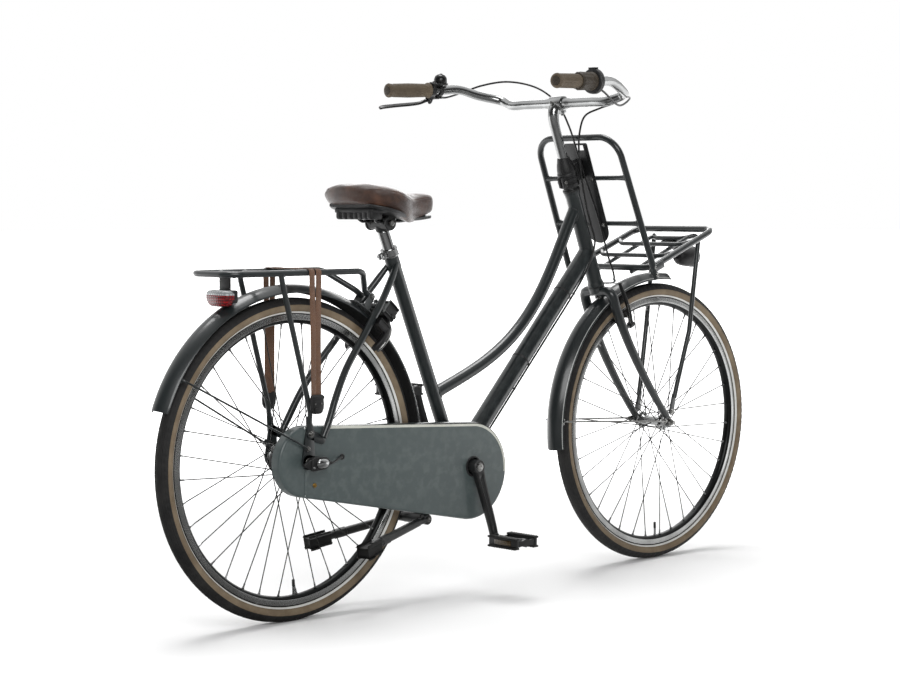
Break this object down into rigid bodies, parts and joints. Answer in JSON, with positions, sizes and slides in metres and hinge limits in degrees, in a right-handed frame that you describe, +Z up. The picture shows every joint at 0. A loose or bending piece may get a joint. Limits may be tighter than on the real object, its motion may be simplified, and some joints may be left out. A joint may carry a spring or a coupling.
{
  "type": "cargo bike",
  "caption": "Step-through transport bicycle with front and rear carriers, closed chain case, mudguards, lamps, two-legged stand, ring lock and padded saddle",
  "frame": {"origin": "on the ground midway between the wheels, in the bike's middle plane", "axes": "+X forward, +Y to the rider's left, +Z up; metres"},
  "size_m": [1.9023, 0.6019, 1.2185],
  "materials": {
    "frame_paint": "matt dark paint",
    "case_paint": "matt grey-green paint",
    "polished": "polished",
    "steel": "plain steel",
    "black_plastic": "matt black",
    "black_metal": "satin black",
    "tyre": "black tread with brown side walls",
    "rim_metal": "black rim with a silver brake track",
    "leather": "brown artificial leather",
    "grip": "brown rubber",
    "webbing": "woven brown straps",
    "red_lens": "clear red",
    "clear_lens": "clear"
  },
  "bodies": {
    "frame": {"main_frame": "frame_paint", "bottom_bracket": "steel", "rear_axle": "steel", "chain": "steel", "chain_case": "case_paint", "chain_case_rear_cover": "case_paint", "rear_mudguard": "frame_paint", "rear_mudguard_stay": "frame_paint", "rear_carrier": "frame_paint", "carrier_bracket": "steel", "tail_lamp_housing": "black_plastic", "tail_lamp_lens": "red_lens", "luggage_straps": "webbing", "ring_lock": "black_plastic", "kickstand_bracket": "black_metal", "kickstand_spring": "steel", "shift_cable_rear": "black_plastic", "shift_box": "black_plastic", "seat_clamp": "polished"},
    "crankset": {"crank_spindle": "steel", "crank_left": "black_metal", "crank_right": "black_metal"},
    "pedal_left": {"pedal_left": "black_plastic"},
    "pedal_right": {"pedal_right": "black_plastic"},
    "rear_wheel": {"rear_hub": "polished", "rear_rim": "rim_metal", "rear_tyre": "tyre"},
    "sprocket": {"rear_sprocket": "steel"},
    "steering": {"fork": "frame_paint", "front_axle": "steel", "stem": "polished", "handlebar": "polished", "grip_left": "grip", "grip_right": "grip", "shifter_housing": "black_plastic", "lever_clamp": "black_metal", "bell": "polished", "front_mudguard": "frame_paint", "front_mudguard_stay": "frame_paint", "front_carrier": "frame_paint", "front_carrier_plate": "frame_paint", "carrier_clamp": "black_metal", "headlamp_housing": "black_plastic", "headlamp_lens": "clear_lens", "brake_cable": "black_plastic", "shift_cable_front": "black_plastic"},
    "front_wheel": {"front_hub": "polished", "front_rim": "rim_metal", "front_tyre": "tyre"},
    "seat": {"seat_post": "polished", "saddle_clamp": "black_metal", "saddle_base": "black_plastic", "saddle_cushion": "leather"},
    "kickstand": {"kickstand": "black_metal"},
    "lock_bow": {"lock_shackle": "steel"},
    "brake_lever": {"brake_lever": "black_metal"},
    "brake_arm_left": {"brake_arm_left": "black_metal"},
    "brake_arm_right": {"brake_arm_right": "black_metal"},
    "twist_grip": {"twist_grip": "grip"},
    "bell_lever": {"bell_lever": "black_plastic"}
  },
  "joints": [
    {"name": "steering_turn", "type": "hinge", "parent": "frame", "child": "steering", "pos_m": [0.38126, 0, 0.69818], "axis": [-0.36, 0, 0.933], "range_deg": [-50, 50]},
    {"name": "front_wheel_spin", "type": "hinge", "parent": "steering", "child": "front_wheel", "pos_m": [0.59775, 0, 0.35018], "axis": [0, 1, 0], "continuous": true},
    {"name": "rear_wheel_spin", "type": "hinge", "parent": "frame", "child": "rear_wheel", "pos_m": [-0.59775, 0, 0.35018], "axis": [0, 1, 0], "continuous": true},
    {"name": "crank_turn", "type": "hinge", "parent": "frame", "child": "crankset", "pos_m": [-0.10175, 0, 0.29868], "axis": [0, 1, 0], "continuous": true},
    {"name": "sprocket_turn", "type": "hinge", "parent": "frame", "child": "sprocket", "pos_m": [-0.59775, 0, 0.35018], "axis": [0, 1, 0], "continuous": true},
    {"name": "pedal_left_turn", "type": "hinge", "parent": "crankset", "child": "pedal_left", "pos_m": [-0.13709, 0.1535, 0.46497], "axis": [0, 1, 0], "continuous": true},
    {"name": "pedal_right_turn", "type": "hinge", "parent": "crankset", "child": "pedal_right", "pos_m": [-0.06641, -0.1535, 0.1324], "axis": [0, 1, 0], "continuous": true},
    {"name": "seat_height", "type": "slide", "parent": "frame", "child": "seat", "axis": [-0.3811, 0, 0.9245], "range_m": [-0.025, 0.06]},
    {"name": "kickstand_swing", "type": "hinge", "parent": "frame", "child": "kickstand", "pos_m": [-0.23075, 0, 0.187], "axis": [0, -1, 0], "range_deg": [0, 100]},
    {"name": "lock_close", "type": "hinge", "parent": "frame", "child": "lock_bow", "pos_m": [-0.36411, 0, 0.59811], "axis": [0.749, 0, -0.6626], "range_deg": [0, 118]},
    {"name": "brake_lever_pull", "type": "hinge", "parent": "steering", "child": "brake_lever", "pos_m": [0.07601, 0.27701, 1.1549], "axis": [0.0736, 0.8578, 0.5087], "range_deg": [0, 7], "stiffness_Nm_per_rad": 3},
    {"name": "brake_arm_left_pull", "type": "hinge", "parent": "steering", "child": "brake_arm_left", "pos_m": [0.45966, 0.0435, 0.60195], "axis": [0.933, 0, 0.36], "range_deg": [0, 4]},
    {"name": "brake_arm_right_pull", "type": "hinge", "parent": "steering", "child": "brake_arm_right", "pos_m": [0.45966, -0.0435, 0.60195], "axis": [-0.933, 0, -0.36], "range_deg": [0, 4]},
    {"name": "gear_twist", "type": "hinge", "parent": "steering", "child": "twist_grip", "pos_m": [0.04557, -0.26691, 1.17633], "axis": [0.994, 0.1046, 0.0327], "range_deg": [0, 90]},
    {"name": "bell_ring", "type": "hinge", "parent": "steering", "child": "bell_lever", "pos_m": [0.06938, 0.2599, 1.19458], "axis": [-0.0575, -0.2439, 0.9681], "range_deg": [0, 20], "stiffness_Nm_per_rad": 0.03}
  ],
  "couplings": [
    {"joint": "sprocket_turn", "follows": "crank_turn", "ratio": 2},
    {"joint": "brake_arm_left_pull", "follows": "brake_lever_pull", "ratio": 0.57143},
    {"joint": "brake_arm_right_pull", "follows": "brake_lever_pull", "ratio": 0.57143}
  ]
}
